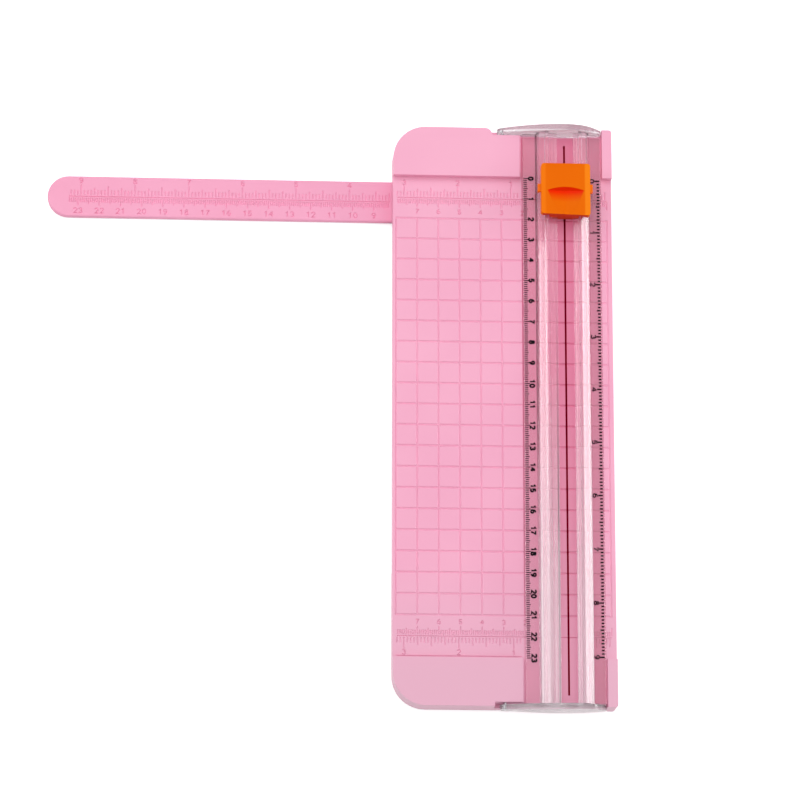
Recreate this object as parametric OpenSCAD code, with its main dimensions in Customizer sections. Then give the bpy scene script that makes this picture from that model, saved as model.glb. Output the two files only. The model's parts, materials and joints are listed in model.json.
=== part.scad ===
// Small rail-guided paper trimmer with a swing-out ruler arm.
// Origin on the desk, under the cut line, halfway along the bed. +Y runs to the parked cutter, +Z up.

/* [Base] */
// Distance from the cut line to the left edge of the base
base_left = 81.4; // [70:0.1:110]
// Distance from the cut line to the right edge of the base
base_right = 22.3; // [21.5:0.1:30]
// Whole length of the base along the cut
base_len = 276.8; // [220:0.1:340]
// Distance of the base's middle from the bed's middle, to the rear
base_shift = 0.7; // [0:0.1:1]
// Mean length of the two end blocks along the cut
block_len = 23.15; // [22:0.05:30]
// Height of the bed's surface over the desk
bed_z = 11.5; // [11:0.1:16]
// Thickness of the bed
bed_t = 2.2; // [1.8:0.1:2.6]
// Thickness of the base's side walls
wall = 2; // [1.5:0.1:2.5]
// Height of the end blocks over the bed
block_h = 3.6; // [3:0.1:3.8]
// Radius of the two left corners in plan
corner_r = 15.4; // [8:0.2:20]
// Radius of the two right corners in plan
corner_small_r = 1.2; // [0.8:0.1:4]
// Gap between the desk and the base's lower rim
rim_gap = 1.2; // [0.8:0.1:1.4]
// Distance from the cut line to the end block's wall on the left of the rail
channel_left = 21; // [20.8:0.1:22]
// Distance from the cut line to the end block's wall on the right of the rail
channel_right = 17.6; // [17.5:0.1:18]

/* [Bed grooves] */
// Spacing of the square grid cut in the bed
grid_pitch = 10; // [5:1:20]
// Width of a grid groove
groove_w = 0.4; // [0.3:0.1:0.8]
// Depth of a grid groove
groove_d = 0.3; // [0.2:0.05:0.5]
// Width of each ruler strip at the bed's ends, which the grid leaves free
ruler_strip = 20.25; // [16:0.25:24]
// Width of the blade's slot
slot_w = 0.8; // [0.7:0.05:1]
// Mean distance from an end of the base to the blade's slot
slot_in_end = 6.4; // [5.4:0.1:12]
// Depth of the blade's slot
slot_d = 2.6; // [2.3:0.1:3]

/* [Ruler arm] */
// Width of the ruler arm
arm_w = 20; // [16:0.5:24]
// Thickness of the ruler arm
arm_t = 2.2; // [1.8:0.1:2.4]
// Height of the arm's lower face over the desk
arm_z = 1.1; // [0.9:0.05:1.2]
// Distance from the pivot to the centre of the arm's round tip
arm_len = 166.4; // [120:1:180]
// Distance from the base's left edge to the arm's pivot
arm_pivot_in = 13.4; // [13:0.1:16]
// Distance from the bed's rear end to the arm's pivot
arm_pivot_back = 10.25; // [9:0.25:15]

/* [Clear rail] */
// Distance from the cut line to the left flange's edge
flange_left = 20; // [18:0.1:20.2]
// Distance from the cut line to the right flange's edge
flange_right = 17.1; // [15:0.1:17.2]
// Thickness of a flange
flange_t = 1.2; // [1:0.1:1.4]
// Distance from the cut line to the left hump's outer wall
hump_left_out = 13.5; // [13:0.1:14.5]
// Distance from the cut line to the left hump's inner wall
hump_left_in = 8.1; // [7.8:0.1:8.6]
// Distance from the cut line to the right hump's inner wall
hump_right_in = 6; // [5.8:0.1:6.4]
// Distance from the cut line to the right hump's outer wall
hump_right_out = 11.3; // [11:0.1:12]
// Wall thickness of the humps and ledges
rail_t = 1.2; // [1:0.05:1.3]
// Height over the bed of a hump's outer shoulder
hump_low = 5; // [4.6:0.1:5.4]
// Height over the bed of a hump's inner ridge
hump_high = 8; // [7.6:0.1:8.1]
// Width of the flat along a hump's inner ridge
ridge_w = 0.9; // [0.6:0.1:1.2]
// Height over the bed of the ledges' upper face
ledge_z = 4.4; // [4.3:0.05:4.5]
// Half the width of the open gap between the two strips
gap_half = 3.8; // [3.7:0.05:4]
// Running gap between the bed and the closed rail
rail_lift = 0.3; // [0.2:0.05:0.5]

/* [Rail ends] */
// Thickness of a clear end plate at its two ends
plate_t = 2.2; // [2:0.1:3]
// How far an end plate's outer face bows out in its middle
plate_bow = 0.8; // [0.4:0.1:1.2]
// Height over the bed of the end plate's crown
plate_crown = 9.9; // [9.4:0.1:11]
// Height over the bed of the crown's curve at the plate's left end
plate_foot_left = 2.6; // [0:0.1:4]
// Height over the bed of the crown's curve at the plate's right end
plate_foot_right = 1.6; // [0:0.1:3]
// Distance that the end plate's lower edge reaches below the bed
plate_drop = 3.2; // [3:0.1:5]
// Distance from the cut line to the plate's crown, on the right
crown_x = 1.8; // [0:0.1:2]
// Distance from the cut line to the hinge axis, on the left
hinge_x = 29.5; // [29:0.1:30.5]
// Depth of the hinge axis below the bed's surface
hinge_drop = 0.5; // [0.4:0.05:0.7]
// Radius of the plate's round hinge end
hinge_end_r = 2.5; // [2.2:0.1:2.8]
// Diameter of the hinge pin
pin_d = 2; // [1.6:0.1:2.4]
// Length of the hinge pin
pin_len = 11; // [9:0.5:13]

/* [Cutter] */
// Distance from the bed's rear end to the parked cutter's centre
park_back = 8.35; // [0:0.05:15]
// Distance from the cut line to the cap's left side
cap_left = 12.2; // [12:0.1:12.6]
// Distance from the cut line to the cap's right side
cap_right = 11; // [10.8:0.1:11.6]
// Length of the cap along the cut
cap_len = 25.4; // [25.2:0.1:27]
// Height over the bed of the cap's top
cap_top = 12.4; // [12.3:0.1:13.5]
// Thickness of the cap's side walls
cap_wall = 1.1; // [0.9:0.05:1.2]
// Radius of the cap's upright corners
cap_corner_r = 1.4; // [1.3:0.1:2.5]
// Depth of the finger scoop under its lip
scoop_d = 2.1; // [1.6:0.1:2.2]
// Distance of the scoop's lip from the cutter's centre, to the rear
scoop_lip = 1.2; // [0.5:0.1:3.5]
// Width of the finger scoop at the cap's top
scoop_w = 19; // [16:0.5:19.5]
// Radius of the lip's arc in plan
lip_r = 23.6; // [18:0.2:30]
// Length of the small ear on each side of the cap
ear_len = 3.8; // [3:0.1:5]
// Distance that an ear stands out from the cap
ear_out = 1.4; // [0.8:0.1:1.6]
// Downward travel of the cap and blade
press_travel = 2; // [1.6:0.1:2.1]

/* [Blade] */
// Thickness of the blade
blade_t = 0.4; // [0.3:0.05:0.5]
// Length of the blade along the cut
blade_len = 8.6; // [7:0.1:9.2]
// Height of the blade
blade_h = 6.2; // [5.4:0.1:6.4]
// Height of the blade's tip over the bed when the cap is up
tip_lift = 0.8; // [0.7:0.05:1]

/* [Feet] */
// Diameter of a rubber foot
foot_d = 9; // [7:0.5:10]
// Thickness of a rubber foot
foot_t = 1.8; // [1.6:0.1:2.2]
// Distance of a left foot's centre from the left edge
foot_in_left = 12; // [10:0.5:14]
// Distance of a right foot's centre from the right edge
foot_in_right = 9.3; // [8:0.1:11]
// Distance of each foot's centre from the nearer end
foot_in_end = 11.7; // [11:0.1:14]

/* [Hidden] */
$fn = 48;

// Overrun of every cut past the face that it opens
over = 1;
// Gap between sliding faces of different pieces
slide_gap = 0.3;
// Radial gap of a running fit
fit_gap = 0.05;
// Radial gap of a pin or screw that stays put in its hole
seat_gap = 0.02;

// Base: derived places
half_len = base_len / 2;
half_bed = half_len - block_len;
bed_len = 2 * half_bed;
slot_len = base_len - 2 * slot_in_end;
rear_y = half_len + base_shift;
front_y = -half_len + base_shift;
block_z = bed_z + block_h;
bed_under_z = bed_z - bed_t;
block_under_z = block_z - bed_t;
// Clear distance kept above the arm where it swings under the base
arm_headroom = 0.5;
arm_top_z = arm_z + arm_t;
arm_door_z = arm_top_z + arm_headroom;
// Clear distance kept beside the arm at both ends of its doorway
door_margin = 3;
arm_reach = arm_len + arm_w / 2;
// Break of the end block's edge along the rail
block_chamfer = 0.6;
// Thickness of the ribs under the bed
rib_t = 1.2;
// Radius of the two small corners inside the walls
hollow_small_r = 0.5;
// Number of cross ribs between the end blocks
rib_count = 5;
// Distance from the cut line to the long rib
rib_x = base_left / 2;
// Width of the keel that closes the blade's slot from below
keel_w = 5;
// Thickness of plastic left under the blade's slot
keel_floor = 1.4;

// Rail ends: derived places
hinge_z = bed_z - hinge_drop;
// Gap between an end plate and the base's end wall
plate_gap = 1.2;
// How far the rail's half length is over the base's
rail_over = 0.7;
rail_half = half_len + rail_over;
plate_y = rail_half - plate_t;
plate_deep = plate_t + plate_bow;
recess_y = plate_y - plate_gap;
// Gap round the plate's hinge end
hinge_end_gap = 2.5;
plate_left = hinge_x + hinge_end_r;
recess_left = plate_left + hinge_end_gap;
// Slanted corner over the plate's hinge end
plate_corner = 1.2;
// Gap below the plate's lower edge
recess_floor_gap = 0.4;
recess_floor_z = bed_z - plate_drop - recess_floor_gap;
plate_right = channel_right - slide_gap;
// Round of the bowed outer face, through both ends of the plate
bow_half = (plate_left + plate_right) / 2;
bow_x = (plate_right - plate_left) / 2;
bow_r = (bow_half * bow_half + plate_bow * plate_bow) / (2 * plate_bow);
bow_sides = 720;
// Power of the crown's curve on each side: 1 is a roof, 2 a parabola, more is fuller
crown_power_left = 1.8;
crown_power_right = 2.5;
// Share of the plate's drop that is left at its two ends
drop_end_share = 0.35;
// Number of steps along the plate's edges
plate_steps = 28;
// Length of the plate's tenons inside the strips
tenon_len = 5;
// Thickness of plastic round the hinge pin
hinge_boss_t = 1.8;
// How far the pin's end stays below the plate's outer face
pin_sunk = 0.3;
pin_y = rail_half - pin_sunk - pin_len;
boss_y = pin_y - wall;

// Arm pivot: derived places
arm_pivot_x = base_left - arm_pivot_in;
arm_pivot_y = half_bed - arm_pivot_back;
screw_shank_r = 1.25;
screw_shank_len = 6;
shoulder_r = 2.5;
screw_head_r = 3.6;
screw_head_t = 0.8;
cross_slot_w = 0.7;
cross_slot_d = 0.4;
washer_r = 4.2;
washer_t = 0.3;
// Play between arm, washer and screw head along the pivot
stack_gap = 0.05;
pivot_boss_r = 5;
pivot_boss_gap = 0.1;
pivot_boss_z = arm_top_z + pivot_boss_gap;
// Depth of the arm's sunk seat for the screw head
arm_seat_d = 1.2;
arm_seat_gap = 0.3;

// Cutter: derived places over the bed
park_y = half_bed - park_back;
shoe_low = 0.6;
shoe_high = ledge_z - rail_t - slide_gap;
core_low = ledge_z + slide_gap;
core_high = 6.6;
neck_half = gap_half - slide_gap;
core_left = hump_left_in - slide_gap;
core_right = hump_right_in - slide_gap;
// Distance that the carriage stays inside the cap's end walls
core_end_gap = 0.3;
core_half = cap_len / 2 - cap_wall - core_end_gap;
cap_under = hump_high + press_travel + slide_gap;
belly_low = core_high + press_travel + slide_gap;
tower_high = cap_under - press_travel - slide_gap;
holder_half = 5.1;
holder_w = 5;
pocket_gap = 0.3;
pocket_half = holder_half + pocket_gap;
// Clear distance left under the holder when it's pressed down
press_slack = 0.2;
holder_low = shoe_low + press_travel + press_slack;
// Distance from the cutter's centre to each spring and shoe screw
spring_y = (pocket_half + core_half) / 2;
spring_r = 1.75;
wire_d = 0.45;
well_gap = 0.25;
well_r = spring_r + wire_d / 2 + well_gap;
// Thickness of plastic under each spring
well_base_t = 0.6;
well_floor = core_low + well_base_t;
well_wall = 0.5;
spring_curls = 4.5;
curl_rings = 8;
wire_sides = 6;
shoe_half = hump_left_in - rail_t;
shoe_screw_r = 0.8;
shoe_head_r = 1.5;
shoe_head_t = 0.8;
// Thickness of plastic kept over a shoe screw's tip
screw_tip_gap = 0.2;
rivet_r = 0.6;
rivet_y = 2.3;
// Distance of the rivets below the holder's top
rivet_drop = 2.2;
// Share of the blade's length at which its slanted edges start
blade_flat_share = 0.88;
// Height of the blade's slanted edges
blade_slant = 2.6;
// Height of the slot left open round the blade
blade_gap = 0.05;
// Slope of the scoop's floor, rising to the front
scoop_tilt = 8.5;

pink = [0.95, 0.65, 0.78];
clear = [0.86, 0.88, 0.9, 0.45];
orange = [0.96, 0.45, 0.05];
steel = [0.72, 0.73, 0.75];

// Plan with two large left corners and two small right corners
module plan(left, right, half, r_left, r_right) {
    translate([-left, -half + r_left]) square([left + right, 2 * (half - r_left)]);
    translate([-left + r_left, -half]) square([left + right - r_left - r_right, 2 * half]);
    translate([right - r_right, -half + r_right]) square([r_right, 2 * (half - r_right)]);
    translate([0, -half + r_right]) square([right, 2 * (half - r_right)]);
    for (s = [-1, 1]) {
        translate([-left + r_left, s * (half - r_left)]) circle(r_left);
        translate([right - r_right, s * (half - r_right)]) circle(r_right, $fn = 24);
    }
}

// Box given by its low and high corners
module box(low, high) {
    translate(low) cube(high - low);
}

// Cylinder along Y that starts at the given point
module rod_y(x, y, z, r, len) {
    translate([x, y, z]) rotate([-90, 0, 0]) cylinder(r = r, h = len);
}

module base_outside() {
    translate([0, base_shift, rim_gap])
        linear_extrude(block_z - rim_gap)
            plan(base_left, base_right, half_len, corner_r, corner_small_r);
}

// Hollow under the bed, with the higher hollows under the two left blocks
module base_hollow() {
    difference() {
        union() {
            hollow_prism(-over, bed_under_z);
            intersection() {
                hollow_prism(bed_under_z - over, block_under_z);
                for (s = [-1, 1])
                    end_box(s, -base_left, -channel_left - wall, half_bed + wall,
                        bed_under_z - over, block_z);
            }
        }
        for (s = [-1, 1])
            end_box(s, -recess_left - wall, base_right, recess_y - wall, 0, block_z);
    }
}

// Prism inside the base's side walls
module hollow_prism(low, high) {
    translate([0, base_shift, low])
        linear_extrude(high - low)
            plan(base_left - wall, base_right - wall, half_len - wall,
                corner_r - wall, hollow_small_r);
}

// Box at one end of the part, from the given distance to past the outside; s is 1 at the rear
module end_box(s, left, right, inner, low, high) {
    outer = rear_y + over;
    box([left, s > 0 ? inner : -outer, low], [right, s > 0 ? outer : -inner, high]);
}

// Space over the bed, with the channel that takes the rail through both end blocks
module bed_space() {
    box([-base_left - over, -half_bed, bed_z], [base_right + over, half_bed, block_z + over]);
    rotate([90, 0, 0])
        linear_extrude(base_len + 2 * over, center = true)
            polygon([
                [-channel_left, bed_z],
                [channel_right, bed_z],
                [channel_right, block_z - block_chamfer],
                [channel_right + block_chamfer / 2, block_z + over],
                [-channel_left - block_chamfer - over, block_z + over],
                [-channel_left - block_chamfer, block_z],
                [-channel_left, block_z - block_chamfer]
            ]);
}

// Notches in both end walls for the end plates, with the rear block's corner rounded beside its notch
module end_recesses() {
    round_r = rear_y - recess_y;
    for (s = [-1, 1])
        end_box(s, -recess_left, channel_right, recess_y, recess_floor_z, block_z + over);
    difference() {
        end_box(1, -recess_left - round_r, -recess_left + over, recess_y, recess_floor_z, block_z + over);
        translate([-recess_left - round_r, recess_y, 0]) cylinder(r = round_r, h = 2 * block_z);
    }
}

// Grid of grooves in the bed, measured from the cut line
module bed_grooves() {
    grid_half = half_bed - ruler_strip;
    first = -floor((base_left - groove_w) / grid_pitch);
    last = floor((base_right - groove_w) / grid_pitch);
    rows = floor(2 * grid_half / grid_pitch);
    translate([0, 0, bed_z - groove_d])
        linear_extrude(groove_d + over)
            union() {
                for (i = [first : last])
                    if (i != 0)
                        translate([i * grid_pitch - groove_w / 2, -grid_half - groove_w / 2])
                            square([groove_w, 2 * grid_half + groove_w]);
                for (j = [0 : rows])
                    translate([first * grid_pitch - groove_w / 2, -grid_half + j * grid_pitch - groove_w / 2])
                        square([(last - first) * grid_pitch + groove_w, groove_w]);
            }
}

module under_ribs() {
    door = arm_door_z;
    top = bed_under_z + bed_t / 2;
    keel_half = recess_y - wall / 2;
    box([-keel_w / 2, -keel_half, bed_z - slot_d - keel_floor],
        [keel_w / 2, keel_half, bed_under_z + wall / 2]);
    box([-rib_x - rib_t / 2, front_y + wall / 2, door], [-rib_x + rib_t / 2, rear_y - wall / 2, top]);
    for (i = [0 : rib_count - 1])
        translate([0, -half_bed + (i + 1) * bed_len / (rib_count + 1), 0])
            box([-base_left + wall / 2, -rib_t / 2, door], [base_right - wall / 2, rib_t / 2, top]);
}

// Sockets for the feet, up to the block's roof on the left and to the channel's floor on the right
module foot_seats() {
    for (place = foot_places)
        translate([place[0], place[1], rim_gap])
            cylinder(r = foot_d / 2 + wall,
                h = (place[0] < 0 ? block_under_z : bed_under_z) + bed_t / 2 - rim_gap);
}

foot_places = [
    [-base_left + foot_in_left, rear_y - foot_in_end],
    [base_right - foot_in_right, rear_y - foot_in_end],
    [-base_left + foot_in_left, front_y + foot_in_end],
    [base_right - foot_in_right, front_y + foot_in_end],
    [0, 0]
];

module base_shell() {
    color(pink)
        difference() {
            union() {
                difference() {
                    base_outside();
                    base_hollow();
                }
                under_ribs();
                foot_seats();
                translate([-arm_pivot_x, arm_pivot_y, pivot_boss_z])
                    cylinder(r = pivot_boss_r, h = bed_under_z + bed_t / 2 - pivot_boss_z);
                for (s = [-1, 1])
                    rod_y(-hinge_x, s > 0 ? boss_y : -recess_y + wall / 2, hinge_z, pin_d / 2 + hinge_boss_t,
                        recess_y - wall / 2 - boss_y);
            }
            bed_space();
            bed_grooves();
            end_recesses();
            box([-slot_w / 2, -slot_len / 2, bed_z - slot_d], [slot_w / 2, slot_len / 2, bed_z + over]);
            // Doorway for the arm in the left wall
            box([-base_left - over, arm_pivot_y - arm_reach - door_margin, 0],
                [-base_left + wall + over, arm_pivot_y + arm_w / 2 + door_margin, arm_door_z]);
            translate([-arm_pivot_x, arm_pivot_y, pivot_boss_z - over])
                cylinder(r = screw_shank_r + seat_gap, h = screw_shank_len + over + stack_gap);
            for (s = [-1, 1])
                rod_y(-hinge_x, s > 0 ? pin_y : -rail_half - over, hinge_z, pin_d / 2 + seat_gap,
                    rail_half - pin_y + over);
            for (place = foot_places)
                translate([place[0], place[1], 0])
                    cylinder(r = foot_d / 2 + seat_gap, h = foot_t);
        }
}

module foot(i) {
    color([0.35, 0.33, 0.34])
        translate([foot_places[i][0], foot_places[i][1], 0])
            cylinder(r = foot_d / 2, h = foot_t);
}

module ruler_arm() {
    color(pink)
        translate([-arm_pivot_x, arm_pivot_y, arm_z])
            difference() {
                union() {
                    cylinder(r = arm_w / 2, h = arm_t);
                    translate([-arm_len, 0, 0]) cylinder(r = arm_w / 2, h = arm_t);
                    translate([-arm_len, -arm_w / 2, 0]) cube([arm_len, arm_w, arm_t]);
                }
                translate([0, 0, -over]) cylinder(r = shoulder_r + fit_gap, h = arm_t + 2 * over);
                translate([0, 0, -over]) cylinder(r = washer_r + arm_seat_gap, h = arm_seat_d + over);
            }
}

module arm_pivot_screw() {
    head_top = arm_z + arm_seat_d - washer_t - 2 * stack_gap;
    color(steel)
        translate([-arm_pivot_x, arm_pivot_y, 0])
            difference() {
                union() {
                    translate([0, 0, head_top - screw_head_t]) cylinder(r = screw_head_r, h = screw_head_t);
                    translate([0, 0, head_top]) cylinder(r = shoulder_r, h = pivot_boss_z - head_top);
                    translate([0, 0, pivot_boss_z]) cylinder(r = screw_shank_r, h = screw_shank_len);
                }
                for (turn = [0, 90])
                    rotate([0, 0, turn])
                        translate([0, 0, head_top - screw_head_t])
                            cube([screw_head_r, cross_slot_w, 2 * cross_slot_d], center = true);
            }
}

module arm_washer() {
    color(steel)
        translate([-arm_pivot_x, arm_pivot_y, arm_z + arm_seat_d - stack_gap - washer_t])
            difference() {
                cylinder(r = washer_r, h = washer_t);
                translate([0, 0, -over]) cylinder(r = shoulder_r + fit_gap, h = washer_t + 2 * over);
            }
}

// Section of one clear strip, from its flange over the hump to the ledge, for the right-hand side
module strip_section(flange, out, inn) {
    slope = (hump_high - hump_low) / (out - inn - ridge_w);
    under_low = hump_low - rail_t + slope * rail_t / 2;
    under_high = hump_high - rail_t - slope * rail_t / 2;
    translate([0, bed_z])
        polygon([
            [flange, rail_lift],
            [flange, rail_lift + flange_t],
            [out, rail_lift + flange_t],
            [out, hump_low],
            [inn + ridge_w, hump_high],
            [inn, hump_high],
            [inn, ledge_z],
            [gap_half, ledge_z],
            [gap_half, ledge_z - rail_t],
            [inn + rail_t, ledge_z - rail_t],
            [inn + rail_t, under_high],
            [out - rail_t, under_low],
            [out - rail_t, rail_lift]
        ]);
}

module rail_strip(flange, out, inn) {
    color(clear)
        translate([0, plate_y, 0])
            rotate([90, 0, 0])
                linear_extrude(2 * plate_y)
                    strip_section(flange, out, inn);
}

module rail_strip_right() {
    rail_strip(flange_right, hump_right_out, hump_right_in);
}

module rail_strip_left() {
    mirror([1, 0, 0]) rail_strip(flange_left, hump_left_out, hump_left_in);
}

// Height of the plate's crown and depth of its lower edge at a share of the way from the crown to an end
function crown_at(u, foot, power) = foot + (plate_crown - foot) * (1 - pow(u, power));
function drop_at(u) = -plate_drop * (drop_end_share + (1 - drop_end_share) * (1 - u * u));

function plate_point(i, low) =
    let (x = -plate_left + plate_corner + (plate_right + plate_left - plate_corner) * i / plate_steps,
        left = x < crown_x,
        u = left ? (crown_x - x) / (crown_x + plate_left) : (x - crown_x) / (plate_right - crown_x))
    [x, low ? drop_at(u) :
        crown_at(u, left ? plate_foot_left : plate_foot_right, left ? crown_power_left : crown_power_right)];

// End plate at the end where s is 1 or -1
module rail_end(s) {
    inner_y = s > 0 ? plate_y : -rail_half;
    color(clear)
        difference() {
            union() {
                intersection() {
                    translate([0, s > 0 ? plate_y + plate_deep : -plate_y, bed_z])
                        rotate([90, 0, 0])
                            linear_extrude(plate_deep)
                                polygon(concat(
                                    [[-plate_left, -hinge_drop]],
                                    [[-plate_left, plate_foot_left - plate_corner]],
                                    [for (i = [0 : plate_steps]) plate_point(i, false)],
                                    [for (i = [plate_steps : -1 : 0]) plate_point(i, true)]));
                    translate([bow_x, s * (rail_half + plate_bow - bow_r), 0])
                        cylinder(r = bow_r, h = bed_z + plate_crown + over, $fn = bow_sides);
                }
                rod_y(-hinge_x, inner_y, hinge_z, hinge_end_r, plate_t);
                plate_tenon(s, -hump_left_out, -hump_left_in);
                plate_tenon(s, hump_right_in, hump_right_out);
            }
            rod_y(-hinge_x, inner_y - over, hinge_z, pin_d / 2 + fit_gap, plate_t + 2 * over);
        }
}

// Block that fills the foot of a hump's hollow from the end
module plate_tenon(s, x_low, x_high) {
    side = rail_t + fit_gap;
    low_y = s > 0 ? plate_y - tenon_len : -plate_y - over;
    high_y = s > 0 ? plate_y + over : -plate_y + tenon_len;
    box([x_low + side, low_y, bed_z + rail_lift + rail_t / 2],
        [x_high - side, high_y, bed_z + ledge_z - rail_t]);
}

// Hinge pin pressed into the base; s is 1 at the rear
module hinge_pin(s) {
    color(steel)
        rod_y(-hinge_x, s > 0 ? pin_y : -rail_half + pin_sunk, hinge_z, pin_d / 2, pin_len);
}

// Block centred on the cutter, from one height over the bed to another
module cutter_block(left, right, half, low, high) {
    box([-left, park_y - half, bed_z + low], [right, park_y + half, bed_z + high]);
}

module cutter_carriage() {
    color(orange)
        difference() {
            union() {
                cutter_block(core_left, core_right, core_half, core_low, core_high);
                cutter_block(neck_half, neck_half, core_half, shoe_high, core_high);
                for (s = [-1, 1])
                    translate([0, s * spring_y, 0])
                        cutter_block(neck_half, neck_half, well_r + well_wall / 2, core_low, tower_high);
            }
            cutter_block(holder_w / 2 + pocket_gap, holder_w / 2 + pocket_gap, pocket_half,
                shoe_high - over, tower_high + over);
            for (s = [-1, 1])
                translate([0, park_y + s * spring_y, bed_z]) {
                    translate([0, 0, well_floor]) cylinder(r = well_r, h = tower_high);
                    translate([0, 0, shoe_high - over])
                        cylinder(r = shoe_screw_r + seat_gap,
                            h = well_floor - shoe_high + over - screw_tip_gap);
                }
        }
}

module carriage_shoe() {
    color(orange)
        difference() {
            cutter_block(shoe_half, shoe_half, core_half, shoe_low, shoe_high);
            cutter_block(holder_w / 2 + pocket_gap, holder_w / 2 + pocket_gap, pocket_half,
                shoe_low - over, shoe_high + over);
            for (s = [-1, 1])
                translate([0, park_y + s * spring_y, bed_z + shoe_low - over]) {
                    cylinder(r = shoe_screw_r + seat_gap, h = shoe_high - shoe_low + 2 * over);
                    cylinder(r = shoe_head_r + seat_gap, h = shoe_head_t + over);
                }
        }
}

module shoe_screws() {
    color(steel)
        for (s = [-1, 1])
            translate([0, park_y + s * spring_y, bed_z + shoe_low]) {
                cylinder(r = shoe_head_r, h = shoe_head_t);
                cylinder(r = shoe_screw_r, h = well_floor - shoe_low - 2 * screw_tip_gap);
            }
}

// Space that the pressed cap must leave over a hump, for the right-hand side
module hump_clearance(out, inn) {
    lift = press_travel + slide_gap;
    side = slide_gap;
    polygon([
        [inn - side, 0],
        [inn - side, hump_high + lift],
        [inn + ridge_w + side, hump_high + lift],
        [out + side, hump_low + lift],
        [out + 2 * cap_wall, hump_low + lift - cap_wall / 2],
        [out + 2 * cap_wall, 0]
    ]);
}

// Finger scoop: a shallow trough that rises to the front and ends in a curved lip
module scoop() {
    trough_r = (scoop_w * scoop_w / 4 + scoop_d * scoop_d) / (2 * scoop_d);
    centre_x = (cap_right - cap_left) / 2;
    lip_y = park_y + scoop_lip;
    intersection() {
        translate([centre_x, lip_y, bed_z + cap_top - scoop_d])
            rotate([90 - scoop_tilt, 0, 0])
                translate([0, trough_r, -scoop_w])
                    cylinder(r = trough_r, h = cap_len + 2 * scoop_w, $fn = 96);
        translate([centre_x, lip_y - lip_r, bed_z])
            cylinder(r = lip_r, h = 2 * cap_top, $fn = 96);
    }
}

module cutter_cap() {
    half = cap_len / 2;
    skirt_low = ledge_z + press_travel + slide_gap;
    color(orange)
        difference() {
            union() {
                translate([0, park_y, bed_z + skirt_low])
                    linear_extrude(cap_top - skirt_low)
                        plan(cap_left, cap_right, half, cap_corner_r, cap_corner_r);
                // One ear on each side
                translate([0, scoop_lip, 0])
                    cutter_block(cap_left + ear_out, cap_right + ear_out, ear_len / 2,
                        hump_low + press_travel + 2 * slide_gap, cap_under);
            }
            difference() {
                cutter_block(cap_left - cap_wall, cap_right - cap_wall, half - cap_wall, 0, cap_under);
                cutter_block(core_left - slide_gap, core_right - slide_gap, holder_half, belly_low, cap_top);
            }
            translate([0, park_y + half + over, bed_z])
                rotate([90, 0, 0])
                    linear_extrude(cap_len + 2 * over) {
                        hump_clearance(hump_right_out, hump_right_in);
                        mirror([1, 0, 0]) hump_clearance(hump_left_out, hump_left_in);
                    }
            scoop();
        }
}

module blade_holder() {
    color([0.8, 0.15, 0.1])
        difference() {
            cutter_block(holder_w / 2, holder_w / 2, holder_half, holder_low, belly_low);
            cutter_block(blade_t / 2 + blade_gap, blade_t / 2 + blade_gap, holder_half + over,
                holder_low - over, tip_lift + blade_h + blade_gap);
            for (s = [-1, 1])
                rivet_hole(s, rivet_r + seat_gap);
        }
}

// Hole across the holder for a rivet
module rivet_hole(s, r) {
    translate([-holder_w, park_y + s * rivet_y, bed_z + belly_low - rivet_drop])
        rotate([0, 90, 0]) cylinder(r = r, h = 2 * holder_w);
}

module blade() {
    half = blade_len / 2;
    top = tip_lift + blade_h;
    color(steel)
        difference() {
            translate([-blade_t / 2, park_y, bed_z])
                rotate([90, 0, 90])
                    linear_extrude(blade_t)
                        polygon([
                            [0, tip_lift],
                            [half * blade_flat_share, tip_lift + blade_slant],
                            [half, tip_lift + blade_slant + (1 - blade_flat_share) * half],
                            [half, top],
                            [-half, top],
                            [-half, tip_lift + blade_slant + (1 - blade_flat_share) * half],
                            [-half * blade_flat_share, tip_lift + blade_slant]
                        ]);
            for (s = [-1, 1])
                rivet_hole(s, rivet_r + fit_gap);
        }
}

module blade_rivets() {
    color(steel)
        for (s = [-1, 1])
            translate([-holder_w / 2, park_y + s * rivet_y, bed_z + belly_low - rivet_drop])
                rotate([0, 90, 0]) cylinder(r = rivet_r, h = holder_w);
}

// Middle line of a press spring: straight for one wire at each end, and a helix between
spring_low = well_floor;
spring_high = cap_under;
// Height of a spring's end turn
end_turn = 0.675;
helix_steps = spring_curls * curl_rings;
helix_low = spring_low + end_turn;
helix_high = spring_high - end_turn;
function helix_point(t) = [
    spring_r * cos(360 * spring_curls * t),
    spring_r * sin(360 * spring_curls * t),
    helix_low + (helix_high - helix_low) * t
];
spring_path = concat(
    [[spring_r, 0, spring_low], [spring_r, 0, spring_low + wire_d]],
    [for (i = [1 : helix_steps - 1]) helix_point(i / helix_steps)],
    [for (z = [spring_high - wire_d, spring_high])
        [helix_point(1)[0], helix_point(1)[1], z]]);

function unit(v) = v / norm(v);
function spring_direction(i) =
    i <= 0 || i >= len(spring_path) - 1 ? [0, 0, 1] : unit(spring_path[i + 1] - spring_path[i - 1]);
function spring_ring(i) =
    let (p = spring_path[i],
        d = spring_direction(i),
        outward = unit([p[0], p[1], 0]),
        side = unit(cross(d, outward)),
        up = cross(side, d))
    [for (k = [0 : wire_sides - 1])
        p + wire_d / 2 * (cos(360 * k / wire_sides) * up + sin(360 * k / wire_sides) * side)];

// Least distance between a spring's wire and itself one curl on
spring_self_gap = (helix_high - helix_low) / spring_curls - wire_d;
echo(spring_self_gap_mm = spring_self_gap);

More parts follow.
